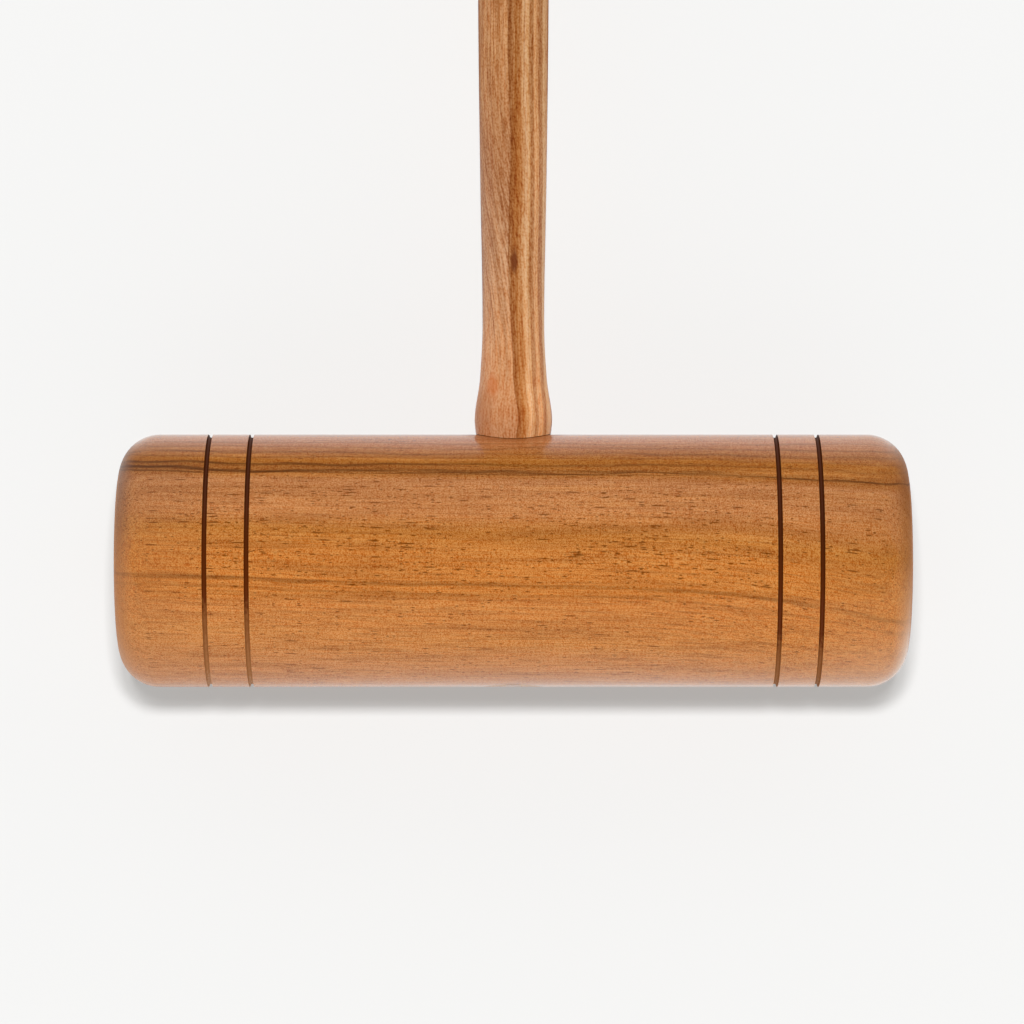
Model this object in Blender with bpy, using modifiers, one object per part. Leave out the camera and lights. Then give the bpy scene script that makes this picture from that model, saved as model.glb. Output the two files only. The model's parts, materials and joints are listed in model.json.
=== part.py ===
"""A croquet mallet: a turned hardwood head on a turned ash shaft, held by a wedged through tenon."""

import math

import bmesh
import bpy
from mathutils import Matrix
from mathutils.geometry import interpolate_bezier

# Sizes are in metres. The mallet lies on the ground with its head along X and its shaft towards +Y.
# Heights up the shaft start at the top of the head unless a comment says otherwise.

# Head
HEAD_LENGTH = 0.229
HEAD_DIAMETER = 0.0735
HEAD_EDGE_RADIUS = 0.0117
GROOVE_WIDTH = 0.0014
GROOVE_DEPTH = 0.0009
OUTER_GROOVE_INSET = 0.0265  # from the striking face to the outer groove's middle
GROOVE_SPACING = 0.0120  # from the outer groove to the inner one

# Shaft, from the sole of the head to the butt
MALLET_LENGTH = 0.965
SEAT_DIAMETER = 0.0212  # where the foot meets the head
SEAT_DEPTH = 0.0030  # the foot's round reaches this far below the top of the head
BEAD_DIAMETER = 0.0226  # the fullest part of the foot
BEAD_HEIGHT = 0.0042
FLARE_DIAMETER = 0.0195
FLARE_RISE = 0.0122  # above the bead
WAIST_DIAMETER = 0.0180
WAIST_RISE = 0.0156  # above the flare
NECK_DIAMETER = 0.01935
NECK_RISE = 0.0419  # above the waist
STEM_DIAMETER = 0.0206
STEM_RISE = 0.0524  # above the neck
SHAFT_DIAMETER = 0.0234  # just below the grip

# Grip, turned round and then planed to eight flats
GRIP_LENGTH = 0.280
GRIP_RUNOUT = 0.080  # the swell from the shaft up to the grip
GRIP_TURNED_DIAMETER = 0.0292
GRIP_ACROSS_FLATS = 0.0276
GRIP_SIDES = 8
BUTT_EDGE_RADIUS = 0.0045

# Wedged tenon
TENON_DIAMETER = 0.0160
TENON_SPREAD = 0.0008  # how far the wedge opens each half of the tenon at the sole
KERF_DEPTH = 0.042  # from the sole
WEDGE_LENGTH = 0.040
WEDGE_THICK_END = 0.0040
WEDGE_THIN_END = 0.0006

# Fits and facets
FIT_GAP = 0.0003
CUT_MARGIN = 0.010  # cutters reach this far past what they cut
HEAD_STEPS = 72
SHAFT_STEPS = 40
TENON_STEPS = 32
EDGE_STEPS = 6
GROOVE_STEPS = 4
CURVE_STEPS = 5

# Worked out from the sizes above, measured along the shaft from the head's axis
HEAD_RADIUS = HEAD_DIAMETER / 2
TENON_RADIUS = TENON_DIAMETER / 2
GRIP_APOTHEM = GRIP_ACROSS_FLATS / 2
SOLE = -HEAD_RADIUS
BUTT = MALLET_LENGTH - HEAD_RADIUS
BEAD_PLACE = HEAD_RADIUS + BEAD_HEIGHT
FLARE_PLACE = BEAD_PLACE + FLARE_RISE
WAIST_PLACE = FLARE_PLACE + WAIST_RISE
NECK_PLACE = WAIST_PLACE + NECK_RISE
STEM_PLACE = NECK_PLACE + STEM_RISE
GRIP_PLACE = BUTT - GRIP_LENGTH
GRIP_START = GRIP_PLACE - GRIP_RUNOUT
BUTT_CONTACT = BUTT - BUTT_EDGE_RADIUS
# The shaft slopes down by this angle, so that the head and the end of the grip both touch the ground.
REST_ANGLE = math.asin(HEAD_RADIUS / math.hypot(BUTT_CONTACT, GRIP_APOTHEM)) - math.atan2(
    GRIP_APOTHEM, BUTT_CONTACT
)

# Turned pieces are made upright and then laid along X or Y.
ALONG_X = (0.0, math.pi / 2, 0.0)
ALONG_Y = (-math.pi / 2, 0.0, 0.0)


def clear_scene():
    for obj in list(bpy.data.objects):
        bpy.data.objects.remove(obj, do_unlink=True)


def add_collection(name):
    collection = bpy.data.collections.new(name)
    bpy.context.scene.collection.children.link(collection)
    return collection


def lacquered_wood(name, colour, roughness):
    material = bpy.data.materials.new(name)
    material.use_nodes = True
    shader = material.node_tree.nodes["Principled BSDF"]
    shader.inputs["Base Color"].default_value = (*colour, 1.0)
    shader.inputs["Roughness"].default_value = roughness
    shader.inputs["Metallic"].default_value = 0.0
    return material


def place(name, mesh, collection, parent, rotation, material=None):
    obj = bpy.data.objects.new(name, mesh)
    collection.objects.link(obj)
    obj.parent = parent
    obj.rotation_euler = rotation
    if material:
        mesh.materials.append(material)
    else:
        obj.hide_render = True
        obj.display_type = "WIRE"
    return obj


def turn(obj, steps):
    screw = obj.modifiers.new("turned", "SCREW")
    screw.axis = "Z"
    screw.angle = 2 * math.pi
    screw.steps = steps
    screw.render_steps = steps
    screw.use_merge_vertices = True
    screw.merge_threshold = 0.00001
    screw.use_smooth_shade = True


def combine(obj, operation, tool):
    boolean = obj.modifiers.new(tool.name, "BOOLEAN")
    boolean.operation = operation
    boolean.solver = "EXACT"
    boolean.object = tool


def profile_mesh(name, points):
    """An open outline of (radius, height) points, listed from the top down."""
    mesh = bpy.data.meshes.new(name)
    verts = [(radius, 0.0, height) for radius, height in points]
    edges = [(i, i + 1) for i in range(len(verts) - 1)]
    mesh.from_pydata(verts, edges, [])
    return mesh


def arc(centre, radius, start, end, steps):
    """Points on a circle around (radius, height), from one angle to another."""
    points = []
    for i in range(steps + 1):
        angle = start + (end - start) * i / steps
        points.append((centre[0] + radius * math.cos(angle), centre[1] + radius * math.sin(angle)))
    return points


def smooth_outline(stations, steps):
    """A smooth curve through (radius, height) stations that swells no further than they do."""
    slopes = [0.0]
    for low, middle, high in zip(stations, stations[1:], stations[2:]):
        below = (middle[0] - low[0]) / (middle[1] - low[1])
        above = (high[0] - middle[0]) / (high[1] - middle[1])
        slopes.append(2 * below * above / (below + above) if below * above > 0 else 0.0)
    slopes.append(0.0)
    points = []
    for i in range(len(stations) - 1):
        (radius_a, height_a), (radius_b, height_b) = stations[i], stations[i + 1]
        third = (height_b - height_a) / 3
        curve = interpolate_bezier(
            (radius_a, 0.0, height_a),
            (radius_a + slopes[i] * third, 0.0, height_a + third),
            (radius_b - slopes[i + 1] * third, 0.0, height_b - third),
            (radius_b, 0.0, height_b),
            steps + 1,
        )
        points += [(point.x, point.z) for point in curve[:-1]]
    points.append(stations[-1])
    return points


def cylinder_mesh(name, radius, length, steps, turn_angle=0.0):
    """A cylinder around Z, centred on the origin."""
    mesh = bpy.data.meshes.new(name)
    bm = bmesh.new()
    bmesh.ops.create_cone(
        bm, cap_ends=True, segments=steps, radius1=radius, radius2=radius, depth=length
    )
    bmesh.ops.rotate(bm, verts=bm.verts, matrix=Matrix.Rotation(turn_angle, 3, "Z"))
    bm.to_mesh(mesh)
    bm.free()
    mesh.shade_smooth()
    mesh.set_sharp_from_angle(angle=math.radians(40))
    return mesh


def sole_mesh(name):
    """The round of the sole, open towards the shaft, to which the tenon and wedge are trimmed."""
    mesh = cylinder_mesh(name, HEAD_RADIUS, HEAD_LENGTH, HEAD_STEPS)
    for vert in mesh.vertices:
        if vert.co.y > FIT_GAP:
            vert.co.y += MALLET_LENGTH
    return mesh


def groove_outline(middle):
    """A round-bottomed groove burnt into the head's side, from its upper edge to its lower one."""
    points = []
    for i in range(GROOVE_STEPS + 1):
        angle = math.pi * i / GROOVE_STEPS
        depth = GROOVE_DEPTH * math.sin(angle)
        points.append((HEAD_RADIUS - depth, middle + GROOVE_WIDTH / 2 * math.cos(angle)))
    return points


def head_outline():
    half = HEAD_LENGTH / 2
    edge = HEAD_EDGE_RADIUS
    outer = half - OUTER_GROOVE_INSET
    inner = outer - GROOVE_SPACING
    points = [(0.0, half)]
    points += arc((HEAD_RADIUS - edge, half - edge), edge, math.pi / 2, 0.0, EDGE_STEPS)
    for middle in (outer, inner, -inner, -outer):
        points += groove_outline(middle)
    points += arc((HEAD_RADIUS - edge, edge - half), edge, 0.0, -math.pi / 2, EDGE_STEPS)
    points.append((0.0, -half))
    return points


def shaft_outline():
    stations = [
        (SEAT_DIAMETER / 2, HEAD_RADIUS - SEAT_DEPTH),
        (BEAD_DIAMETER / 2, BEAD_PLACE),
        (FLARE_DIAMETER / 2, FLARE_PLACE),
        (WAIST_DIAMETER / 2, WAIST_PLACE),
        (NECK_DIAMETER / 2, NECK_PLACE),
        (STEM_DIAMETER / 2, STEM_PLACE),
        (SHAFT_DIAMETER / 2, GRIP_START),
        (GRIP_TURNED_DIAMETER / 2, GRIP_PLACE),
    ]
    side = smooth_outline(stations, CURVE_STEPS)
    edge = BUTT_EDGE_RADIUS
    edge_centre = (GRIP_TURNED_DIAMETER / 2 - edge, BUTT - edge)
    butt = arc(edge_centre, edge, math.pi / 2, 0.0, EDGE_STEPS)
    # The foot runs on into the round of the head, where it is coped away.
    foot = HEAD_RADIUS - SEAT_DEPTH - CUT_MARGIN
    return [(0.0, BUTT)] + butt + side[::-1] + [(SEAT_DIAMETER / 2, foot), (0.0, foot)]


def tenon_mesh(name, radius, top):
    """The tenon's form: round, and spread along the head's grain towards the sole."""
    low = SOLE - CUT_MARGIN
    spread_top = SOLE + KERF_DEPTH
    spread = TENON_SPREAD * (spread_top - low) / KERF_DEPTH
    mesh = bpy.data.meshes.new(name)
    bm = bmesh.new()
    bmesh.ops.create_cone(
        bm,
        cap_ends=True,
        segments=TENON_STEPS,
        radius1=radius,
        radius2=radius,
        depth=spread_top - low,
    )
    bmesh.ops.translate(bm, verts=bm.verts, vec=(0.0, 0.0, (spread_top + low) / 2))
    for vert in bm.verts:
        if vert.co.z < SOLE:
            vert.co.x *= (radius + spread) / radius
    bm.faces.ensure_lookup_table()
    cap = max(bm.faces, key=lambda face: face.calc_center_median().z)
    extruded = bmesh.ops.extrude_face_region(bm, geom=[cap])["geom"]
    raised = [item for item in extruded if isinstance(item, bmesh.types.BMVert)]
    bmesh.ops.translate(bm, verts=raised, vec=(0.0, 0.0, top - spread_top))
    bmesh.ops.delete(bm, geom=[cap], context="FACES_ONLY")
    bm.to_mesh(mesh)
    bm.free()
    return mesh


def wedge_half_thickness(height):
    share = (SOLE + WEDGE_LENGTH - height) / WEDGE_LENGTH
    return (WEDGE_THIN_END + (WEDGE_THICK_END - WEDGE_THIN_END) * share) / 2


def wedge_mesh(name, width, top, gap):
    """The wedge's form, thin end up, with a gap on both of its faces."""
    low = SOLE - CUT_MARGIN
    mesh = bpy.data.meshes.new(name)
    bm = bmesh.new()
    bmesh.ops.create_cube(bm, size=1.0)
    for vert in bm.verts:
        height = top if vert.co.z > 0 else low
        half = wedge_half_thickness(height) + gap
        vert.co = (math.copysign(half, vert.co.x), width * vert.co.y, height)
    bm.to_mesh(mesh)
    bm.free()
    return mesh


def make_head(parts, root, mortise):
    wood = lacquered_wood("lacquered_hardwood", (0.56, 0.23, 0.055), 0.32)
    head = place("head", profile_mesh("head", head_outline()), parts, root, ALONG_X, wood)
    turn(head, HEAD_STEPS)
    combine(head, "DIFFERENCE", mortise)


def make_shaft(parts, cutters, root, sole_round):
    wood = lacquered_wood("lacquered_ash", (0.55, 0.27, 0.11), 0.35)
    shaft = place("shaft", profile_mesh("shaft", shaft_outline()), parts, root, ALONG_Y, wood)
    turn(shaft, SHAFT_STEPS)

    cope_mesh = cylinder_mesh("cope", HEAD_RADIUS + FIT_GAP, HEAD_LENGTH, HEAD_STEPS)
    combine(shaft, "DIFFERENCE", place("cope", cope_mesh, cutters, root, ALONG_X))

    grip_round = GRIP_APOTHEM / math.cos(math.pi / GRIP_SIDES)
    flats_mesh = cylinder_mesh(
        "grip_flats", grip_round, 2 * MALLET_LENGTH, GRIP_SIDES, math.pi / GRIP_SIDES
    )
    combine(shaft, "INTERSECT", place("grip_flats", flats_mesh, cutters, root, ALONG_Y))

    tenon = place("tenon", tenon_mesh("tenon", TENON_RADIUS, BEAD_PLACE), cutters, root, ALONG_Y)
    combine(tenon, "INTERSECT", sole_round)
    kerf_top = SOLE + KERF_DEPTH
    kerf_mesh = wedge_mesh("kerf", TENON_DIAMETER + CUT_MARGIN, kerf_top, FIT_GAP)
    combine(tenon, "DIFFERENCE", place("kerf", kerf_mesh, cutters, root, ALONG_Y))
    combine(shaft, "UNION", tenon)


def make_wedge(parts, root, sole_round):
    wood = lacquered_wood("wedge_hardwood", (0.30, 0.12, 0.04), 0.5)
    width = 2 * math.sqrt(TENON_RADIUS**2 - (WEDGE_THICK_END / 2) ** 2)
    mesh = wedge_mesh("tenon_wedge", width, SOLE + WEDGE_LENGTH, 0.0)
    wedge = place("tenon_wedge", mesh, parts, root, ALONG_Y, wood)
    combine(wedge, "INTERSECT", sole_round)


def main():
    clear_scene()
    parts = add_collection("croquet_mallet")
    cutters = add_collection("cutters")

    root = bpy.data.objects.new("mallet_at_rest", None)
    parts.objects.link(root)
    root.location = (0.0, 0.0, HEAD_RADIUS)
    root.rotation_euler = (-REST_ANGLE, 0.0, 0.0)

    mortise_top = HEAD_RADIUS + CUT_MARGIN
    mortise_mesh = tenon_mesh("mortise", TENON_RADIUS + FIT_GAP, mortise_top)
    mortise = place("mortise", mortise_mesh, cutters, root, ALONG_Y)
    sole_round = place("sole_round", sole_mesh("sole_round"), cutters, root, ALONG_X)

    make_head(parts, root, mortise)
    make_shaft(parts, cutters, root, sole_round)
    make_wedge(parts, root, sole_round)


main()
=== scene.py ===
import json
import math

import bpy
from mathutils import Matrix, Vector
from mathutils.geometry import interpolate_bezier


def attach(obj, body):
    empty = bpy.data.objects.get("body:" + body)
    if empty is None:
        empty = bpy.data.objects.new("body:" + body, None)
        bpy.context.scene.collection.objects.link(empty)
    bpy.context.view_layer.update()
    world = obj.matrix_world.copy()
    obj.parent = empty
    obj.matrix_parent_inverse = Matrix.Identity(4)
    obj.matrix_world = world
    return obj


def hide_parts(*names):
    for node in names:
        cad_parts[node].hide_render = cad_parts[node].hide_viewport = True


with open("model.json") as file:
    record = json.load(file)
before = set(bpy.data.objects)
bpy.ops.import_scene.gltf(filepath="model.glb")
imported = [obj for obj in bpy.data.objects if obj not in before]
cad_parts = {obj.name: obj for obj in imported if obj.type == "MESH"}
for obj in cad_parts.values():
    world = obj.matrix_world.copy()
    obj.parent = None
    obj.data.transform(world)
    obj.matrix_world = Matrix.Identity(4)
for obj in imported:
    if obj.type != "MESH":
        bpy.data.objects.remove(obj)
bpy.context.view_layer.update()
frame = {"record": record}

# The mallet is modelled standing up in metres: head along X with its axis through the origin, shaft up Z,
# the side that faces the camera towards -Y. It is then laid down as it rests on the ground.

# Head
HEAD_LENGTH = 0.229
HEAD_RADIUS = 0.0735 / 2
HEAD_EDGE_RADIUS = 0.0117
GROOVE_WIDTH = 0.0014
GROOVE_DEPTH = 0.0009
OUTER_GROOVE_INSET = 0.0265
GROOVE_SPACING = 0.0120

# Shaft: diameters, and heights above the head's axis
MALLET_LENGTH = 0.965
SEAT_DIAMETER = 0.0212
SEAT_DEPTH = 0.0030
BEAD_DIAMETER = 0.0226
BEAD_HEIGHT = 0.0042
FLARE_DIAMETER = 0.0195
FLARE_RISE = 0.0122
WAIST_DIAMETER = 0.0180
WAIST_RISE = 0.0156
NECK_DIAMETER = 0.01935
NECK_RISE = 0.0419
STEM_DIAMETER = 0.0206
STEM_RISE = 0.0524
SHAFT_DIAMETER = 0.0234
GRIP_LENGTH = 0.280
GRIP_RUNOUT = 0.080
GRIP_TURNED_DIAMETER = 0.0292
GRIP_ACROSS_FLATS = 0.0276
GRIP_SIDES = 8
GRIP_CORNER_RADIUS = 0.0012
BUTT_EDGE_RADIUS = 0.0045

# Wedged tenon
TENON_DIAMETER = 0.0160
TENON_SPREAD = 0.0008
KERF_DEPTH = 0.042
WEDGE_LENGTH = 0.040
WEDGE_THICK_END = 0.0040
WEDGE_THIN_END = 0.0006
JOINT_LINE = 0.00003  # the gap that shows where two pieces meet
SEAT_LINE = 0.00015  # and under the foot of the shaft
CUT_MARGIN = 0.010

# How finely the pieces are drawn
HEAD_STEPS = 192
SHAFT_STEPS = 96
TENON_STEPS = 64
EDGE_STEPS = 14
GROOVE_STEPS = 8
CURVE_STEPS = 16
CORNER_STEPS = 4
SMOOTH_ANGLE = math.radians(32)
MERGE_DISTANCE = 0.000005
SQUARE_ON = 0.9  # a face points a given way if its normal goes at least this far that way

# Worked out from the sizes above
HALF_HEAD = HEAD_LENGTH / 2
TENON_RADIUS = TENON_DIAMETER / 2
SOLE = -HEAD_RADIUS
CUT_LOW = SOLE - CUT_MARGIN
KERF_TOP = SOLE + KERF_DEPTH
SEAT_PLACE = HEAD_RADIUS - SEAT_DEPTH
BEAD_PLACE = HEAD_RADIUS + BEAD_HEIGHT
FLARE_PLACE = BEAD_PLACE + FLARE_RISE
WAIST_PLACE = FLARE_PLACE + WAIST_RISE
NECK_PLACE = WAIST_PLACE + NECK_RISE
STEM_PLACE = NECK_PLACE + STEM_RISE
BUTT = MALLET_LENGTH - HEAD_RADIUS
GRIP_PLACE = BUTT - GRIP_LENGTH
GRIP_START = GRIP_PLACE - GRIP_RUNOUT
OUTER_GROOVE = HALF_HEAD - OUTER_GROOVE_INSET
INNER_GROOVE = OUTER_GROOVE - GROOVE_SPACING

# The butt's mount points along the shaft, which slopes down from the head to the end of the grip.
butt_end = next(mount for mount in frame["record"]["mounts"] if mount["name"] == "butt_end")
REST_ANGLE = math.asin(-butt_end["axis"][2])
LAID_TURN = (-math.pi / 2 - REST_ANGLE, 0.0, 0.0)
LAID_PLACE = (0.0, 0.0, HEAD_RADIUS)


# Modelling

def select_only(piece):
    bpy.ops.object.select_all(action="DESELECT")
    piece.select_set(True)
    bpy.context.view_layer.objects.active = piece


def select_faces(piece, wanted):
    """Goes into edit mode with only the wanted faces selected."""
    select_only(piece)
    bpy.ops.object.mode_set(mode="EDIT")
    bpy.ops.mesh.select_mode(type="FACE")
    bpy.ops.mesh.select_all(action="DESELECT")
    bpy.ops.object.mode_set(mode="OBJECT")
    for face in piece.data.polygons:
        face.select = wanted(face)
    bpy.ops.object.mode_set(mode="EDIT")


def fix_place(piece):
    """Puts a piece's place, turn and scale into its mesh."""
    select_only(piece)
    bpy.ops.object.transform_apply(location=True, rotation=True, scale=True)


def combine(piece, operation, tool, keep_tool=False):
    boolean = piece.modifiers.new("joint", "BOOLEAN")
    boolean.operation = operation
    boolean.solver = "EXACT"
    boolean.object = tool
    select_only(piece)
    bpy.ops.object.modifier_apply(modifier=boolean.name)
    if not keep_tool:
        bpy.data.objects.remove(tool)


def arc(centre, radius, start, end, steps):
    points = []
    for i in range(steps + 1):
        angle = start + (end - start) * i / steps
        points.append((centre[0] + radius * math.cos(angle), centre[1] + radius * math.sin(angle)))
    return points


def turn(name, outline, steps):
    """A turned piece: an outline of (radius, height) is drawn point by point and spun about Z."""
    bpy.ops.object.select_all(action="DESELECT")
    bpy.ops.mesh.primitive_plane_add(size=HEAD_RADIUS)
    piece = bpy.context.object
    piece.name = name
    bpy.ops.object.mode_set(mode="EDIT")
    bpy.ops.mesh.select_mode(type="VERT")
    bpy.ops.mesh.select_all(action="SELECT")
    bpy.ops.mesh.merge(type="CENTER")
    points = [Vector((radius, 0.0, height)) for radius, height in outline]
    bpy.ops.transform.translate(value=points[0])
    for last, point in zip(points, points[1:]):
        bpy.ops.mesh.extrude_vertices_move(TRANSFORM_OT_translate={"value": point - last})
    bpy.ops.mesh.select_all(action="SELECT")
    bpy.ops.mesh.spin(steps=steps, angle=2 * math.pi, center=(0.0, 0.0, 0.0), axis=(0.0, 0.0, 1.0))
    bpy.ops.mesh.select_all(action="SELECT")
    bpy.ops.mesh.remove_doubles(threshold=MERGE_DISTANCE)
    bpy.ops.mesh.normals_make_consistent(inside=False)
    bpy.ops.object.mode_set(mode="OBJECT")
    return piece


def rod_along_x(name, radius):
    bpy.ops.object.select_all(action="DESELECT")
    bpy.ops.mesh.primitive_cylinder_add(
        vertices=2 * HEAD_STEPS, radius=radius, depth=HEAD_LENGTH, rotation=(0.0, math.pi / 2, 0.0)
    )
    rod = bpy.context.object
    rod.name = name
    fix_place(rod)
    return rod


def sole_form():
    """The round of the sole, carried up past the head, to which the tenon and the wedge are trimmed."""
    form = rod_along_x("sole_round", HEAD_RADIUS)
    select_faces(form, lambda face: face.normal.z > 0.0 and abs(face.normal.x) < SQUARE_ON)
    bpy.ops.mesh.extrude_region_move(TRANSFORM_OT_translate={"value": (0.0, 0.0, MALLET_LENGTH)})
    bpy.ops.object.mode_set(mode="OBJECT")
    return form


def tenon_form(name, radius, top):
    """Round, and spread along the head from the top of the kerf down past the sole."""
    length = KERF_TOP - CUT_LOW
    spread = TENON_SPREAD * length / KERF_DEPTH
    bpy.ops.object.select_all(action="DESELECT")
    bpy.ops.mesh.primitive_cylinder_add(
        vertices=TENON_STEPS, radius=radius, depth=length, location=(0.0, 0.0, (KERF_TOP + CUT_LOW) / 2)
    )
    tenon = bpy.context.object
    tenon.name = name
    fix_place(tenon)
    select_faces(tenon, lambda face: face.normal.z < -SQUARE_ON)
    bpy.ops.transform.resize(value=((radius + spread) / radius, 1.0, 1.0))
    bpy.ops.object.mode_set(mode="OBJECT")
    select_faces(tenon, lambda face: face.normal.z > SQUARE_ON)
    bpy.ops.mesh.extrude_region_move(TRANSFORM_OT_translate={"value": (0.0, 0.0, top - KERF_TOP)})
    bpy.ops.object.mode_set(mode="OBJECT")
    return tenon


def wedge_form(name, width, top, gap):
    """Thin end up, with a gap on both of its faces."""
    taper = (WEDGE_THICK_END - WEDGE_THIN_END) / WEDGE_LENGTH
    thick = WEDGE_THICK_END + taper * CUT_MARGIN + 2 * gap
    thin = WEDGE_THICK_END - taper * (top - SOLE) + 2 * gap
    bpy.ops.object.select_all(action="DESELECT")
    bpy.ops.mesh.primitive_cube_add(size=1.0, location=(0.0, 0.0, (CUT_LOW + top) / 2))
    wedge = bpy.context.object
    wedge.name = name
    wedge.scale = (thick, width, top - CUT_LOW)
    fix_place(wedge)
    select_faces(wedge, lambda face: face.normal.z > SQUARE_ON)
    bpy.ops.transform.resize(value=(thin / thick, 1.0, 1.0))
    bpy.ops.object.mode_set(mode="OBJECT")
    return wedge


def grip_flats():
    """Eight planed flats with their corners eased."""
    across_corners = GRIP_ACROSS_FLATS / math.cos(math.pi / GRIP_SIDES)
    bpy.ops.object.select_all(action="DESELECT")
    bpy.ops.mesh.primitive_cylinder_add(
        vertices=GRIP_SIDES,
        radius=across_corners / 2,
        depth=2 * MALLET_LENGTH,
        rotation=(0.0, 0.0, math.pi / GRIP_SIDES),
    )
    flats = bpy.context.object
    fix_place(flats)
    bpy.ops.object.mode_set(mode="EDIT")
    bpy.ops.mesh.select_mode(type="EDGE")
    bpy.ops.mesh.select_all(action="DESELECT")
    bpy.ops.object.mode_set(mode="OBJECT")
    for edge in flats.data.edges:
        ends = [flats.data.vertices[i].co for i in edge.vertices]
        edge.select = abs(ends[0].z - ends[1].z) > MALLET_LENGTH
    bpy.ops.object.mode_set(mode="EDIT")
    bpy.ops.mesh.bevel(offset=GRIP_CORNER_RADIUS, segments=CORNER_STEPS, affect="EDGES")
    bpy.ops.object.mode_set(mode="OBJECT")
    return flats


def head_outline():
    edge = HEAD_EDGE_RADIUS
    points = [(0.0, HALF_HEAD)]
    points += arc((HEAD_RADIUS - edge, HALF_HEAD - edge), edge, math.pi / 2, 0.0, EDGE_STEPS)
    for middle in (OUTER_GROOVE, INNER_GROOVE, -INNER_GROOVE, -OUTER_GROOVE):
        if middle == -INNER_GROOVE:
            # Rings either side of the mortise keep its cut local.
            points += [(HEAD_RADIUS, TENON_DIAMETER), (HEAD_RADIUS, -TENON_DIAMETER)]
        for i in range(GROOVE_STEPS + 1):
            angle = math.pi * i / GROOVE_STEPS
            depth = GROOVE_DEPTH * math.sin(angle)
            points.append((HEAD_RADIUS - depth, middle + GROOVE_WIDTH / 2 * math.cos(angle)))
    points += arc((HEAD_RADIUS - edge, edge - HALF_HEAD), edge, 0.0, -math.pi / 2, EDGE_STEPS)
    points.append((0.0, -HALF_HEAD))
    return points


def shaft_side():
    """A smooth curve through the turned diameters that swells no further than they do."""
    stations = [
        (SEAT_DIAMETER / 2, SEAT_PLACE),
        (BEAD_DIAMETER / 2, BEAD_PLACE),
        (FLARE_DIAMETER / 2, FLARE_PLACE),
        (WAIST_DIAMETER / 2, WAIST_PLACE),
        (NECK_DIAMETER / 2, NECK_PLACE),
        (STEM_DIAMETER / 2, STEM_PLACE),
        (SHAFT_DIAMETER / 2, GRIP_START),
        (GRIP_TURNED_DIAMETER / 2, GRIP_PLACE),
    ]
    slopes = [0.0]
    for low, middle, high in zip(stations, stations[1:], stations[2:]):
        below = (middle[0] - low[0]) / (middle[1] - low[1])
        above = (high[0] - middle[0]) / (high[1] - middle[1])
        slopes.append(2 * below * above / (below + above) if below * above > 0 else 0.0)
    slopes.append(0.0)
    points = []
    for i in range(len(stations) - 1):
        (radius_a, height_a), (radius_b, height_b) = stations[i], stations[i + 1]
        third = (height_b - height_a) / 3
        curve = interpolate_bezier(
            (radius_a, 0.0, height_a),
            (radius_a + slopes[i] * third, 0.0, height_a + third),
            (radius_b - slopes[i + 1] * third, 0.0, height_b - third),
            (radius_b, 0.0, height_b),
            CURVE_STEPS + 1,
        )
        points += [(point.x, point.z) for point in curve[:-1]]
    points.append(stations[-1])
    return points


def shaft_outline():
    edge = BUTT_EDGE_RADIUS
    edge_centre = (GRIP_TURNED_DIAMETER / 2 - edge, BUTT - edge)
    butt = arc(edge_centre, edge, math.pi / 2, 0.0, EDGE_STEPS)
    foot = SEAT_PLACE - CUT_MARGIN
    return [(0.0, BUTT)] + butt + shaft_side()[::-1] + [(SEAT_DIAMETER / 2, foot), (0.0, foot)]


def in_a_groove(face):
    reach = abs(face.center.x)
    nearest = min(abs(reach - OUTER_GROOVE), abs(reach - INNER_GROOVE))
    return nearest < GROOVE_WIDTH / 2 and math.hypot(face.center.y, face.center.z) > TENON_DIAMETER


def dress(piece, *materials):
    piece.data.materials.clear()
    for material in materials:
        piece.data.materials.append(material)


def finish_piece(piece, node):
    """Lays a piece down on the ground in place of its plain solid."""
    piece.rotation_euler = LAID_TURN
    piece.location = LAID_PLACE
    fix_place(piece)
    bpy.ops.object.shade_smooth_by_angle(angle=SMOOTH_ANGLE)
    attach(piece, "root")
    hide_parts(node)


def make_head(material, groove_material):
    head = turn("turned_head", head_outline(), HEAD_STEPS)
    head.rotation_euler = (0.0, math.pi / 2, 0.0)
    fix_place(head)
    combine(head, "DIFFERENCE", tenon_form("mortise", TENON_RADIUS + JOINT_LINE, HEAD_RADIUS + CUT_MARGIN))
    dress(head, material, groove_material)
    select_faces(head, in_a_groove)
    head.active_material_index = 1
    bpy.ops.object.material_slot_assign()
    bpy.ops.object.mode_set(mode="OBJECT")
    finish_piece(head, "head")
    return head


def make_shaft(material, sole_round):
    shaft = turn("turned_shaft", shaft_outline(), SHAFT_STEPS)
    combine(shaft, "DIFFERENCE", rod_along_x("cope", HEAD_RADIUS + SEAT_LINE))
    combine(shaft, "INTERSECT", grip_flats())
    tenon = tenon_form("tenon", TENON_RADIUS, BEAD_PLACE)
    combine(tenon, "INTERSECT", sole_round, keep_tool=True)
    combine(tenon, "DIFFERENCE", wedge_form("kerf", TENON_DIAMETER + CUT_MARGIN, KERF_TOP, JOINT_LINE))
    combine(shaft, "UNION", tenon)
    dress(shaft, material)
    finish_piece(shaft, "shaft")


def make_wedge(material, sole_round):
    width = 2 * math.sqrt(TENON_RADIUS**2 - (WEDGE_THICK_END / 2) ** 2)
    wedge = wedge_form("driven_wedge", width, SOLE + WEDGE_LENGTH, 0.0)
    combine(wedge, "INTERSECT", sole_round)
    dress(wedge, material)
    finish_piece(wedge, "tenon_wedge")


# Materials: their sizes and places are in mm on the standing mallet

MM = 0.001
HEAD_END = HALF_HEAD / MM
FOOT_RADIUS = SEAT_DIAMETER / 2 / MM
SOLE_HEIGHT = SOLE / MM
BUTT_HEIGHT = BUTT / MM

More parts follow.
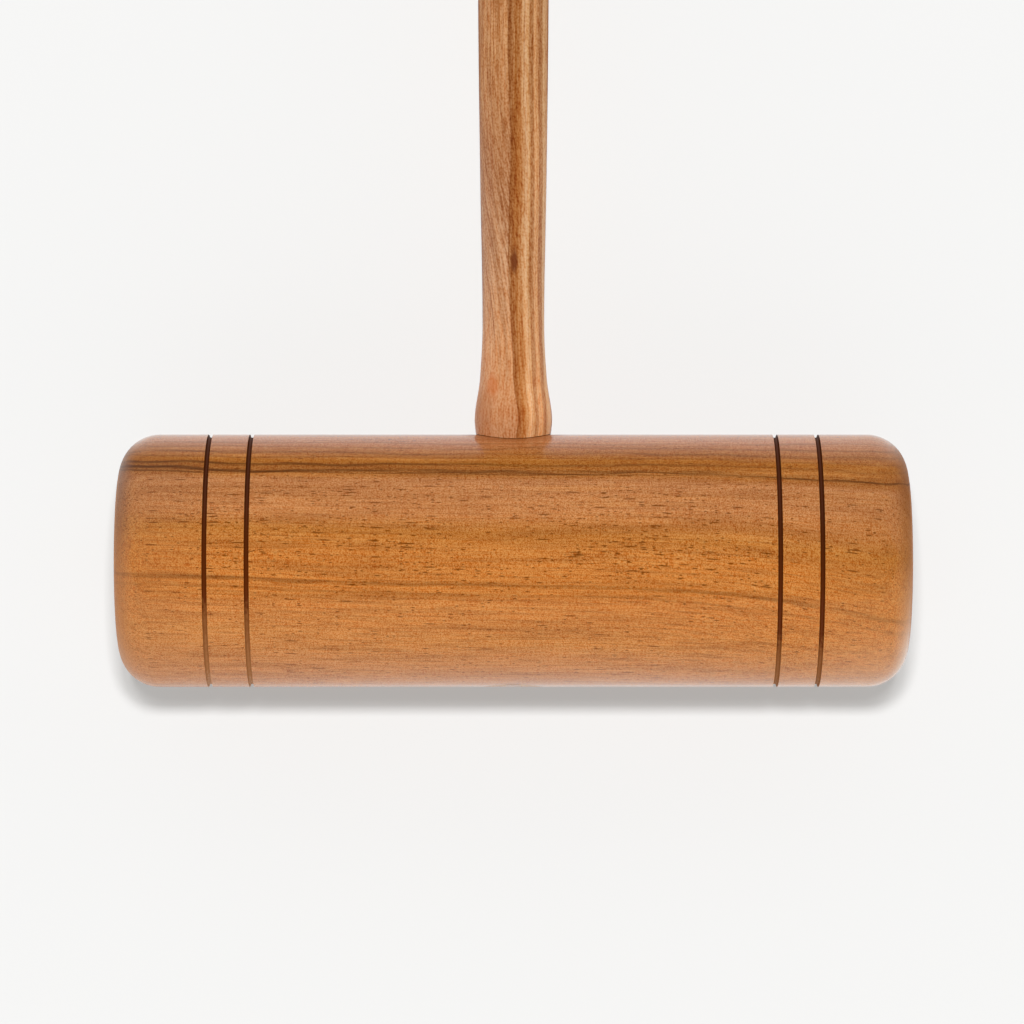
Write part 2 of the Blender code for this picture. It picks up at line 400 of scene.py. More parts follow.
# Bare wood is dull, and the lacquer over it is clear
WOOD_ROUGHNESS = 0.5
LACQUER_IOR = 1.6
LACQUER_ROUGHNESS = 0.14

# Tints and mottles lie in random patches from 0 to 1: where they begin, and where they show in full
TINT_FROM = 0.48
TINT_FULL = 0.72
MOTTLE_FROM = 0.42
MOTTLE_FULL = 0.75
MOTTLE_PALER = 0.2  # shares of a mottle's depth that go to paler and to deeper wood
MOTTLE_DEEPER = 0.8
TINT_SHIFT = 7.3  # moves the patches of each tint, mottle and line on from those of the last one
MOTTLE_SHIFT = 5.9
LINE_SHIFT = 6.1


def srgb(code, alpha=1.0):
    """A hex colour as the eye names it, turned to the linear values that light is worked out in."""
    linear = []
    for i in (0, 2, 4):
        value = int(code[i:i + 2], 16) / 255
        linear.append(value / 12.92 if value <= 0.04045 else ((value + 0.055) / 1.055) ** 2.4)
    return (*linear, alpha)


def grey(value):
    return (value, value, value, 1.0)


def add(tree, kind, inputs=None, stops=None, **settings):
    """Adds a node, sets its properties, and fills its sockets with links or plain values."""
    node = tree.nodes.new("ShaderNode" + kind)
    for name, value in settings.items():
        setattr(node, name, value)
    for name, value in (inputs or {}).items():
        if isinstance(value, bpy.types.NodeSocket):
            tree.links.new(value, node.inputs[name])
        else:
            node.inputs[name].default_value = value
    if stops:
        elements = node.color_ramp.elements
        while len(elements) > 1:
            elements.remove(elements[-1])
        elements[0].position, elements[0].color = stops[0]
        for place, colour in stops[1:]:
            elements.new(place).color = colour
    return node


def new_wood(name):
    """A material with an empty tree: its tree, and where a point is on the mallet."""
    material = bpy.data.materials.new(name)
    material.use_nodes = True
    tree = material.node_tree
    tree.nodes.clear()
    surface = add(tree, "TexCoord").outputs["Object"]
    on_mallet = add(
        tree,
        "Mapping",
        {"Vector": surface, "Location": LAID_PLACE, "Rotation": LAID_TURN, "Scale": (MM,) * 3},
        vector_type="TEXTURE",
    )
    return material, tree, on_mallet.outputs["Vector"]


def patchy(tree, place, size, shift=0.0, detail=2.0):
    """Soft random patches, from 0 to 1, of a given size."""
    cells = add(
        tree,
        "Mapping",
        {"Vector": place, "Location": (shift,) * 3, "Scale": [1 / side for side in size]},
    )
    patches = add(tree, "TexNoise", {"Vector": cells.outputs[0], "Scale": 1.0, "Detail": detail})
    return patches.outputs["Fac"]


def layered(tree, layer, layers):
    """The colour of each layer and, as its alpha, how much gloss the lacquer keeps on it."""
    lowest, highest = layers[0][0], layers[-1][0]
    level = add(tree, "MapRange", {"Value": layer, "From Min": lowest, "From Max": highest})
    stops = [((place - lowest) / (highest - lowest), srgb(*look)) for place, *look in layers]
    return add(tree, "ValToRGB", {"Fac": level.outputs[0]}, stops=stops).outputs


def streaked(tree, grain, body, tints):
    """Lays tints over a colour in patches drawn out along the grain."""
    for i, (size, amount, colour) in enumerate(tints):
        shown = add(
            tree,
            "MapRange",
            {
                "Value": patchy(tree, grain, size, TINT_SHIFT * i),
                "From Min": TINT_FROM,
                "From Max": TINT_FULL,
                "To Max": amount,
            },
        ).outputs[0]
        body = add(tree, "Mix", {0: shown, 6: body, 7: srgb(colour)}, data_type="RGBA").outputs[2]
    return body


def mottled(tree, grain, body, mottles):
    """Deepens a colour in fine patches, as wood does where it takes more of the lacquer."""
    for i, (size, depth) in enumerate(mottles):
        taken = add(
            tree,
            "MapRange",
            {
                "Value": patchy(tree, grain, size, MOTTLE_SHIFT * i, detail=0.0),
                "From Min": MOTTLE_FROM,
                "From Max": MOTTLE_FULL,
                "To Min": 1 - MOTTLE_PALER * depth,
                "To Max": 1 + MOTTLE_DEEPER * depth,
            },
        )
        body = add(tree, "Gamma", {"Color": body, "Gamma": taken.outputs[0]}).outputs[0]
    return body


def finish_wood(tree, body, gloss, gloss_roughness):
    """Bare wood under a clear coat."""
    wood = add(
        tree,
        "BsdfPrincipled",
        {
            "Base Color": body,
            "Roughness": WOOD_ROUGHNESS,
            "Specular IOR Level": 0.0,
            "Coat Weight": gloss,
            "Coat Roughness": gloss_roughness,
            "Coat IOR": LACQUER_IOR,
        },
    )
    add(tree, "OutputMaterial", {"Surface": wood.outputs[0]})


# The head's grain: its layers lie across the shaft and sweep down towards the right-hand end.
SWEEP_DROP = 9.7  # how far the layers fall over the head's length
SWEEP_SPREAD = -0.255  # and how much less that is for each mm up the head
RING_BOW = 1200.0  # the layers are arcs of growth rings, of half this radius
LAYER_WANDER = 0.6  # the most that they stray up or down
LAYER_WANDER_SIZE = (40.0, 16.0, 16.0)

# How the layers fall: share of the way along the head and share of the fall
SWEEP = ((0.10, 0.0), (0.40, 0.34), (0.60, 0.27), (0.80, 0.48), (1.0, 1.12))

# Layers of the head from the sole up: height, colour and gloss
HEAD_LAYERS = (
    (-36.0, "D28F5A", 0.25),
    (-18.4, "D48D4C", 0.25),
    (-7.2, "D48741", 0.25),
    (4.7, "CF843E", 0.25),
    (10.8, "BE7B38", 0.25),
    (15.1, "C8854C", 0.25),
    (24.2, "BE804D", 0.25),
    (25.6, "AE6E34", 0.12),
    (29.5, "AA6A28", 0.08),
    (32.0, "AC6C34", 0.60),
    (34.6, "BC784A", 1.00),
    (40.0, "C88458", 1.00),
)

# Tints of the head: size along, into and across the grain, how much shows, and colour
HEAD_TINTS = (
    ((70.0, 3.2, 3.2), 0.35, "DB9650"),
    ((55.0, 2.4, 2.4), 0.45, "9F602B"),
    ((30.0, 0.5, 0.5), 0.34, "8C5124"),
    ((12.0, 0.6, 0.6), 0.30, "8C5124"),
    ((22.0, 0.3, 0.3), 0.36, "8C5124"),
)

# Fine grain of the head: size along, into and across the grain, and depth
HEAD_MOTTLES = (
    ((1.6, 0.5, 0.5), 0.10),
    ((0.3, 0.3, 0.3), 0.50),
    ((0.5, 2.6, 2.6), 0.08),
)

# Dark lines: height, half width, and darkness at the left end and at the right end.
# A line whose darkness goes below none stops on the way.
DARK_LINES = (
    (34.2, 0.30, 0.35, 0.30),
    (32.9, 0.35, 0.30, 0.35),
    (31.4, 0.40, 0.40, 0.30),
    (30.2, 0.30, 0.30, 0.20),
    (27.4, 2.20, 0.22, 0.00),
    (27.0, 1.70, 0.60, -4.5),
    (28.5, 0.50, 0.85, 0.20),
    (26.9, 0.50, 0.90, 0.18),
    (26.0, 0.32, 0.65, 0.20),
    (-3.2, 0.85, 0.44, 0.36),
    (-5.9, 0.60, 0.26, 0.18),
    (26.4, 0.32, 0.20, 0.90),
)
LINE_COLOUR = "4A2404"
LINE_CORE = 0.2  # the share of its half width that is darkest
LINE_STRAY = 0.9  # the most that a line strays up or down
LINE_STRAY_SIZE = (28.0, 9.0, 9.0)
BREAK_SIZE = (16.0, 6.0, 0.4)
BREAK_FULL = 0.36  # random patches below this break a line, and above the next they leave it whole
BREAK_END = 0.54
BREAK_LEAVES = 0.5  # the share of a line's darkness that is left at a break

# Pores: length and width of the cell that each lies in, and the share of cells that have one
PORES = ((8.0, 0.70, 0.45), (3.6, 0.66, 0.55), (1.8, 0.60, 0.65))
PORE_COLOUR = "6E3604"
PORE_DARKNESS = 0.9
PORE_EDGE = 0.34  # shares of a cell: where a pore begins, and where it is darkest
PORE_CORE = 0.14
PORE_HEIGHT = 9.0  # they lie thickest here, and thin out this far above and below
PORE_SPREAD = 24.0
PORES_FAR_OFF = 0.25  # the share of them that is left past that
DRIFT_SIZE = (24.0, 7.0, 5.0)
DRIFT_FROM = 0.38
DRIFT_FULL = 0.64
PORES_BETWEEN_DRIFTS = 0.12
CLOSING_FROM = 0.74  # shares of the way along the head between which some of them close up
CLOSING_TO = 0.92
PORES_AT_RIGHT = 0.4

# Lacquer gathers along the underside, less of it towards the left: heights, and the gloss it adds
POOL_TOP = -24.0
POOL_BOTTOM = -36.5
POOL_AT_LEFT = 0.35
POOL_FROM_MIDDLE = 0.9

# A painted shade round the foot of the shaft: the top of the head is darkened there, and kept dull, where the
# shaft shades it
FOOT_SHADE_START = FOOT_RADIUS + 6.0
FOOT_SHADE_FULL = FOOT_RADIUS + 1.0
FOOT_SHADE_AMOUNT = 0.45
FOOT_SHADE_COLOUR = "8A5226"

# End grain of the head, with a painted reflection, pale low down and dark high up, and a painted highlight
# low on the right end. From the sole up at each end: height, colour and gloss
LEFT_END_AND_SHEEN = (
    (-34.0, "C0885C", 0.35),
    (-20.0, "B87C4C", 0.25),
    (0.0, "986642", 0.25),
    (18.0, "74503C", 0.30),
    (31.0, "7C5A48", 0.40),
    (37.0, "B47C4A", 0.40),
)
RIGHT_END_AND_HIGHLIGHT = (
    (-34.0, "DCB492", 1.00),
    (-25.0, "D8A880", 1.00),
    (-17.0, "C48A54", 0.70),
    (0.0, "92581E", 0.25),
    (18.0, "7C4820", 0.05),
    (31.0, "865A38", 0.30),
    (37.0, "B47C4A", 0.30),
)

# These colours show a little well in from the ends, only as a darkening there, more on their rounded edges,
# and less on the flat faces.
END_DARKENING_START = HEAD_END - 32.0
END_DARKENING_FULL = HEAD_END - 8.0
END_DARKENING_AMOUNT = 0.22
ROUND_START = HEAD_END - 6.5
ROUND_FULL = HEAD_END - 1.5
ROUND_AMOUNT = 0.43
FACE_START = HEAD_END - 1.0
FACE_FULL = HEAD_END - 0.1
FACE_AMOUNT = 0.4
FACE_COLOUR = "945E30"
FACE_GLOSS = 0.3


def head_layer(tree, on_mallet, place, along):
    """How high in the head's swept, bowed and wandering layers a point lies."""
    _, depth, height = place
    sweep = add(tree, "ValToRGB", {"Fac": along}, stops=[(share, grey(fall)) for share, fall in SWEEP])
    sweep.color_ramp.interpolation = "B_SPLINE"
    drop = add(tree, "Math", {0: height, 1: SWEEP_SPREAD, 2: SWEEP_DROP}, operation="MULTIPLY_ADD")
    swept = add(
        tree,
        "Math",
        {0: sweep.outputs["Color"], 1: drop.outputs[0], 2: height},
        operation="MULTIPLY_ADD",
    )
    squared = add(tree, "Math", {0: depth, 1: depth}, operation="MULTIPLY")
    bowed = add(
        tree,
        "Math",
        {0: squared.outputs[0], 1: 1 / RING_BOW, 2: swept.outputs[0]},
        operation="MULTIPLY_ADD",
    )
    wander = add(
        tree,
        "MapRange",
        {
            "Value": patchy(tree, on_mallet, LAYER_WANDER_SIZE, detail=6.0),
            "To Min": -LAYER_WANDER,
            "To Max": LAYER_WANDER,
        },
    )
    return add(tree, "Math", {0: bowed.outputs[0], 1: wander.outputs[0]}).outputs[0]


def dark_lines(tree, on_mallet, grain, layer, along, body):
    """Dark growth lines, broken here and there."""
    unbroken = add(
        tree,
        "MapRange",
        {
            "Value": patchy(tree, grain, BREAK_SIZE, detail=3.0),
            "From Min": BREAK_FULL,
            "From Max": BREAK_END,
            "To Min": BREAK_LEAVES,
        },
    )
    for i, (place, width, left, right) in enumerate(DARK_LINES):
        stray = add(
            tree,
            "MapRange",
            {
                "Value": patchy(tree, on_mallet, LINE_STRAY_SIZE, LINE_SHIFT * i),
                "To Min": place - LINE_STRAY,
                "To Max": place + LINE_STRAY,
            },
        )
        away = add(tree, "Math", {0: layer, 1: stray.outputs[0]}, operation="SUBTRACT")
        distance = add(tree, "Math", {0: away.outputs[0]}, operation="ABSOLUTE")
        strength = add(tree, "MapRange", {"Value": along, "To Min": left, "To Max": right})
        line = add(
            tree,
            "MapRange",
            {
                "Value": distance.outputs[0],
                "From Min": width,
                "From Max": width * LINE_CORE,
                "To Max": strength.outputs[0],
            },
            interpolation_type="SMOOTHSTEP",
        )
        shown = add(tree, "Math", {0: line.outputs[0], 1: unbroken.outputs[0]}, operation="MULTIPLY")
        body = add(
            tree,
            "Mix",
            {0: shown.outputs[0], 6: body, 7: srgb(LINE_COLOUR)},
            data_type="RGBA",
        ).outputs[2]
    return body


def open_pores(tree, grain, layer, along, body):
    """Fine dashes along the grain, gathered in drifts."""
    gathered = add(
        tree,
        "MapRange",
        {
            "Value": patchy(tree, grain, DRIFT_SIZE),
            "From Min": DRIFT_FROM,
            "From Max": DRIFT_FULL,
            "To Min": PORES_BETWEEN_DRIFTS,
        },
    )
    away = add(tree, "Math", {0: layer, 1: PORE_HEIGHT}, operation="SUBTRACT")
    distance = add(tree, "Math", {0: away.outputs[0]}, operation="ABSOLUTE")
    porous = add(
        tree,
        "MapRange",
        {
            "Value": distance.outputs[0],
            "From Min": PORE_SPREAD,
            "From Max": 0.0,
            "To Min": PORES_FAR_OFF,
        },
    )
    closing = add(
        tree,
        "MapRange",
        {
            "Value": along,
            "From Min": CLOSING_FROM,
            "From Max": CLOSING_TO,
            "To Min": 1.0,
            "To Max": PORES_AT_RIGHT,
        },
    )
    for thinned in (porous, closing):
        gathered = add(tree, "Math", {0: gathered.outputs[0], 1: thinned.outputs[0]}, operation="MULTIPLY")
    for length, width, share in PORES:
        cells = add(tree, "Mapping", {"Vector": grain, "Scale": (1 / length, 1 / width, 1 / width)})
        pores = add(tree, "TexVoronoi", {"Vector": cells.outputs[0], "Scale": 1.0})
        dash = add(
            tree,
            "MapRange",
            {
                "Value": pores.outputs["Distance"],
                "From Min": PORE_EDGE,
                "From Max": PORE_CORE,
                "To Max": PORE_DARKNESS,
            },
            interpolation_type="SMOOTHSTEP",
        )
        lot = add(tree, "SeparateXYZ", {"Vector": pores.outputs["Color"]})
        wanted = add(tree, "Math", {0: gathered.outputs[0], 1: share}, operation="MULTIPLY")
        chosen = add(tree, "Math", {0: lot.outputs[0], 1: wanted.outputs[0]}, operation="LESS_THAN")
        pore = add(tree, "Math", {0: dash.outputs[0], 1: chosen.outputs[0]}, operation="MULTIPLY")
        body = add(
            tree,
            "Mix",
            {0: pore.outputs[0], 6: body, 7: srgb(PORE_COLOUR)},
            data_type="RGBA",
        ).outputs[2]
    return body


def pooled_gloss_and_foot_shade(tree, place, along, body, gloss):
    """Lacquer pooled along the underside, and a painted shade, dark and dull, round the foot of the shaft."""
    across, depth, height = place
    pool = add(
        tree,
        "MapRange",
        {"Value": along, "From Max": 0.5, "To Min": POOL_AT_LEFT, "To Max": POOL_FROM_MIDDLE},
    )
    pooled = add(
        tree,
        "MapRange",
        {"Value": height, "From Min": POOL_TOP, "From Max": POOL_BOTTOM, "To Max": pool.outputs[0]},
    )
    gloss = add(tree, "Math", {0: gloss, 1: pooled.outputs[0]}).outputs[0]
    level_place = add(tree, "CombineXYZ", {"X": across, "Y": depth})
    out = add(tree, "VectorMath", {0: level_place.outputs[0]}, operation="LENGTH").outputs["Value"]
    # painted shade round the foot of the shaft, on the top of the head only
    above = add(tree, "Math", {0: height, 1: 0.0}, operation="GREATER_THAN")
    most = add(tree, "Math", {0: above.outputs[0], 1: FOOT_SHADE_AMOUNT}, operation="MULTIPLY")
    foot_shade = add(
        tree,
        "MapRange",
        {"Value": out, "From Min": FOOT_SHADE_START, "From Max": FOOT_SHADE_FULL, "To Max": most.outputs[0]},
    ).outputs[0]
    body = add(tree, "Mix", {0: foot_shade, 6: body, 7: srgb(FOOT_SHADE_COLOUR)}, data_type="RGBA").outputs[2]
    gloss = add(tree, "Mix", {0: foot_shade, 2: gloss, 3: 0.0}).outputs[0]
    return body, gloss


def head_ends(tree, place, along, body, gloss):
    """End grain, which drinks the lacquer, with a painted reflection and a painted highlight on it: on the
    rounded edges of both ends, and on the flat faces.
    """
    across, _, height = place
    reach = add(tree, "Math", {0: across}, operation="ABSOLUTE").outputs[0]
    end = add(
        tree,
        "MapRange",
        {"Value": reach, "From Min": ROUND_START, "From Max": ROUND_FULL},
        interpolation_type="SMOOTHSTEP",
    ).outputs[0]
    near_end = add(tree, "MapRange", {"Value": reach, "From Min": END_DARKENING_START, "From Max": END_DARKENING_FULL})
    darkening = add(tree, "Math", {0: near_end.outputs[0], 1: END_DARKENING_AMOUNT}, operation="MULTIPLY").outputs[0]
    soaked = add(tree, "Math", {0: end, 1: ROUND_AMOUNT, 2: darkening}, operation="MULTIPLY_ADD").outputs[0]
    # the end colours carry a painted reflection, pale low down and dark high up, and a painted highlight low
    # on the right end
    left_body, left_gloss = layered(tree, height, LEFT_END_AND_SHEEN)
    right_body, right_gloss = layered(tree, height, RIGHT_END_AND_HIGHLIGHT)
    right = add(tree, "Math", {0: along, 1: 0.5}, operation="GREATER_THAN").outputs[0]
    end_body = add(tree, "Mix", {0: right, 6: left_body, 7: right_body}, data_type="RGBA").outputs[2]
    end_gloss = add(tree, "Mix", {0: right, 2: left_gloss, 3: right_gloss}).outputs[0]
    rim = add(tree, "Mix", {0: soaked, 6: body, 7: end_body}, data_type="RGBA").outputs[2]
    rim_gloss = add(tree, "Mix", {0: end, 2: gloss, 3: end_gloss}).outputs[0]
    flat = add(tree, "MapRange", {"Value": reach, "From Min": FACE_START, "From Max": FACE_FULL}).outputs[0]
    face = add(tree, "Mix", {0: FACE_AMOUNT, 6: body, 7: srgb(FACE_COLOUR)}, data_type="RGBA").outputs[2]
    body = add(tree, "Mix", {0: flat, 6: rim, 7: face}, data_type="RGBA").outputs[2]
    gloss = add(tree, "Mix", {0: flat, 2: rim_gloss, 3: FACE_GLOSS}).outputs[0]
    return body, gloss


def lacquered_sheesham():
    """Oily orange-brown hardwood, turned and lacquered: fine dark dashes of open pores along the grain,
    a few near-black growth lines, a silky fleck, and a clear gloss over all of it."""
    material, tree, on_mallet = new_wood("lacquered_sheesham")
    place = tuple(add(tree, "SeparateXYZ", {"Vector": on_mallet}).outputs)
    across, depth, _ = place
    along = add(tree, "MapRange", {"Value": across, "From Min": -HEAD_END, "From Max": HEAD_END}).outputs[0]
    layer = head_layer(tree, on_mallet, place, along)
    grain = add(tree, "CombineXYZ", {"X": across, "Y": depth, "Z": layer}).outputs[0]
    body, gloss = layered(tree, layer, HEAD_LAYERS)
    body = streaked(tree, grain, body, HEAD_TINTS)
    body = mottled(tree, grain, body, HEAD_MOTTLES)
    body = dark_lines(tree, on_mallet, grain, layer, along, body)
    body = open_pores(tree, grain, layer, along, body)
    body, gloss = pooled_gloss_and_foot_shade(tree, place, along, body, gloss)
    body, gloss = head_ends(tree, place, along, body, gloss)
    finish_wood(tree, body, gloss, LACQUER_ROUGHNESS)
    return material


# The burn in the grooves, paled near the sole partly by a painted reflection of the floor, from the sole up:
# height and colour
BURN_AND_SHEEN_LAYERS = (
    (-37.0, "CCA484"),
    (-29.8, "B07848"),
    (-14.2, "905628"),
    (-9.4, "682E0A"),
    (23.0, "4C220A"),
)
BURN_SLOPE = 0.06  # how much lower these lie for each mm to the right
BURN_CRUST = 14.0  # and how much lower again where the burn is thick
CRUST_SIZE = (0.5, 1.2, 1.2)
BURN_GLOSS = 0.15
BURN_ROUGHNESS = 0.3


def scorched_wood():
    """The grooves are burnt in: dark brown and dull. They are paler low down, more so to the left, partly as
    a lighter burn and partly as a painted reflection of the white floor along the lower edge."""
    material, tree, on_mallet = new_wood("scorched_wood")
    across, _, height = add(tree, "SeparateXYZ", {"Vector": on_mallet}).outputs
    crust = patchy(tree, on_mallet, CRUST_SIZE)
    rise = add(tree, "Math", {0: across, 1: BURN_SLOPE, 2: height}, operation="MULTIPLY_ADD")
    burn = add(tree, "Math", {0: crust, 1: BURN_CRUST, 2: rise.outputs[0]}, operation="MULTIPLY_ADD")
    # paler near the sole: partly a lighter burn, partly a painted reflection of the floor
    body = layered(tree, burn.outputs[0], BURN_AND_SHEEN_LAYERS)["Color"]
    finish_wood(tree, body, BURN_GLOSS, BURN_ROUGHNESS)
    return material


# The shaft's ash: growth rings are near flat across so thin a stick, and its fibres run slightly askew.
RING_TURN = math.radians(42)
RING_WANDER = 0.5  # the most that the rings stray in or out
RING_WANDER_SIZE = (12.0, 90.0, 12.0)
LEAN = 13.0  # how far the fibres lean over between these heights
LEAN_LOW = 50.0
LEAN_HIGH = 145.0

# The sharp edge of the last year's growth: height up the shaft, distance out,
# and how pale the rings inside it are there, paler near the foot as painted light against the head's shade
LAST_RING = (
    (43.0, 7.5, 1.32),
    (62.0, 6.9, 1.17),
    (88.0, 7.7, 1.04),
    (112.0, 7.8, 1.05),
    (150.0, 8.6, 0.95),
)
RAMP_SCALE = 10.0  # a ramp of colours holds the last two this many times smaller
EDGE_OUTSIDE = -0.15  # the edge goes over from the last growth to the rings between these depths
EDGE_INSIDE = 0.05

# Layers of the shaft in from that edge: depth and colour
SHAFT_LAYERS = (
    (0.0, "8E542A"),
    (1.3, "A4642F"),
    (2.3, "B0723E"),
    (3.0, "CC9868"),
    (3.8, "D8A87C"),
    (4.6, "CC9866"),
    (5.1, "AC7244"),
    (6.0, "B07848"),
    (6.5, "D49C6A"),
    (7.8, "CC925E"),
    (8.4, "AA6E3E"),
    (9.8, "B07846"),
    (10.5, "D6A878"),
    (13.0, "C8905C"),
    (13.2, "9A5E2E"),
    (16.0, "B87C48"),
    (17.5, "D2A270"),
    (18.0, "9E6230"),
    (21.0, "C0864F"),
    (24.0, "D0A06E"),
)

# The last year's growth, outside that edge, paler towards the foot, partly as painted light against the
# head's shade: height and colour
OUTER_COLOURS_AND_FOOT_LIGHT = (
    (42.0, "CE9062"),
    (60.0, "D89C6C"),
    (88.0, "CC9A72"),
    (112.0, "B07A52"),
    (150.0, "C48C5C"),
    (200.0, "B88258"),
)

# Tints of the shaft: size across, along and into the fibres, how much shows, and colour
RING_TINTS = (
    ((9.0, 150.0, 0.5), 0.35, "E0AE7A"),
    ((9.0, 120.0, 0.4), 0.45, "8E5020"),
)
FIBRE_TINTS = (
    ((0.9, 30.0, 5.0), 0.35, "DEA678"),
    ((1.2, 40.0, 5.0), 0.60, "925628"),
    ((0.5, 14.0, 5.0), 0.45, "86481A"),
)
CALM_HIGH = 70.0  # the fibres' tints give way to the plain colour between these heights, near the foot
CALM_LOW = 48.0
CALM_AMOUNT = 0.8

# Fine grain of the shaft: size across, along and into the fibres, and depth
SHAFT_MOTTLES = (
    ((0.5, 5.0, 0.5), 0.30),
    ((0.5, 0.7, 0.5), 0.30),
)

# A pin knot and two stains on the front of the shaft: place, size, how much shows, and colour
KNOTS = (
    ((0.2, -9.2, 86.8), (1.4, 3.0, 4.2), 0.85, "6A3014"),
    ((-6.3, -8.5, 51.0), (2.4, 4.0, 4.5), 0.65, "C86A28"),
    ((-9.0, -6.0, 44.0), (5.5, 6.0, 8.0), 0.45, "AA6630"),
)
KNOT_RAGGED = 0.9  # how ragged their edges are, in shares of their size
KNOT_RAGGED_SIZE = (1.2, 3.0, 3.0)
KNOT_EDGE = 1.45  # where they begin, and where they show in full
KNOT_CORE = 0.9

# End grain of the shaft, which drinks the lacquer: height, the way in from there, and how much shows
SHAFT_ENDS = ((SOLE_HEIGHT, 1.0, 0.95), (BUTT_HEIGHT, -1.0, 0.6))
SHAFT_END_COLOUR = "B4804F"
SHAFT_END_START = 2.5
SHAFT_END_FULL = 1.5

# Gloss of the shaft: less of it above the foot, and more on the tenon's end
GLOSS_HIGH = 140.0
GLOSS_LOW = 100.0
SHAFT_GLOSS = 0.2
FOOT_GLOSS = 0.5
TENON_GLOSS = 0.4  # added within this far of the sole
TENON_GLOSS_REACH = 5.0
SHAFT_ROUGHNESS = 0.2


def shaft_rings(tree, fibre, height, outward):
    """How far in from the edge of the last year's growth a point lies, and how pale the rings are there, with
    painted light near the foot.
    """
    wander = add(
        tree,
        "MapRange",
        {
            "Value": patchy(tree, fibre, RING_WANDER_SIZE, detail=6.0),
            "To Min": -RING_WANDER,
            "To Max": RING_WANDER,
        },
    )
    lowest, highest = LAST_RING[0][0], LAST_RING[-1][0]
    level = add(tree, "MapRange", {"Value": height, "From Min": lowest, "From Max": highest})
    stops = [
        ((place - lowest) / (highest - lowest), (out / RAMP_SCALE, pale / RAMP_SCALE, 0.0, 1.0))
        for place, out, pale in LAST_RING
    ]
    last_ring = add(tree, "ValToRGB", {"Fac": level.outputs[0]}, stops=stops)
    last_ring.color_ramp.interpolation = "EASE"
    full_size = add(
        tree,
        "VectorMath",
        {0: last_ring.outputs["Color"], "Scale": RAMP_SCALE},
        operation="SCALE",
    )
    out, pale, _ = add(tree, "SeparateXYZ", {"Vector": full_size.outputs[0]}).outputs
    edge = add(tree, "Math", {0: out, 1: wander.outputs[0]})
    inward = add(tree, "Math", {0: edge.outputs[0], 1: outward}, operation="SUBTRACT").outputs[0]
    return inward, pale


def knots(tree, on_mallet, fibre, body):
    """Knots and stains, ragged at their edges."""
    ragged = patchy(tree, fibre, KNOT_RAGGED_SIZE)
    for place, size, amount, colour in KNOTS:
        around = add(
            tree,
            "Mapping",
            {"Vector": on_mallet, "Location": place, "Scale": size},
            vector_type="TEXTURE",
        )
        away = add(tree, "VectorMath", {0: around.outputs[0]}, operation="LENGTH").outputs["Value"]
        edge = add(tree, "Math", {0: ragged, 1: KNOT_RAGGED, 2: away}, operation="MULTIPLY_ADD")
        knot = add(
            tree,
            "MapRange",
            {"Value": edge.outputs[0], "From Min": KNOT_EDGE, "From Max": KNOT_CORE, "To Max": amount},
        ).outputs[0]
        body = add(tree, "Mix", {0: knot, 6: body, 7: srgb(colour)}, data_type="RGBA").outputs[2]
    return body


def shaft_ends(tree, height, body):
    """End grain of the tenon, at the sole, and of the butt."""
    for end, inside, amount in SHAFT_ENDS:
        soaked = add(
            tree,
            "MapRange",
            {
                "Value": height,
                "From Min": end + SHAFT_END_START * inside,
                "From Max": end + SHAFT_END_FULL * inside,
                "To Max": amount,
            },
        )
        body = add(
            tree,
            "Mix",
            {0: soaked.outputs[0], 6: body, 7: srgb(SHAFT_END_COLOUR)},
            data_type="RGBA",
        ).outputs[2]
    return body


def shaft_gloss(tree, height):
    on_tenon = add(
        tree,
        "MapRange",
        {
            "Value": height,
            "From Min": SOLE_HEIGHT + TENON_GLOSS_REACH,
            "From Max": SOLE_HEIGHT,
            "To Max": TENON_GLOSS,
        },
    )
    on_shaft = add(
        tree,
        "MapRange",
        {
            "Value": height,
            "From Min": GLOSS_HIGH,
            "From Max": GLOSS_LOW,
            "To Min": SHAFT_GLOSS,
            "To Max": FOOT_GLOSS,
        },
    )
    return add(tree, "Math", {0: on_tenon.outputs[0], 1: on_shaft.outputs[0]}).outputs[0]


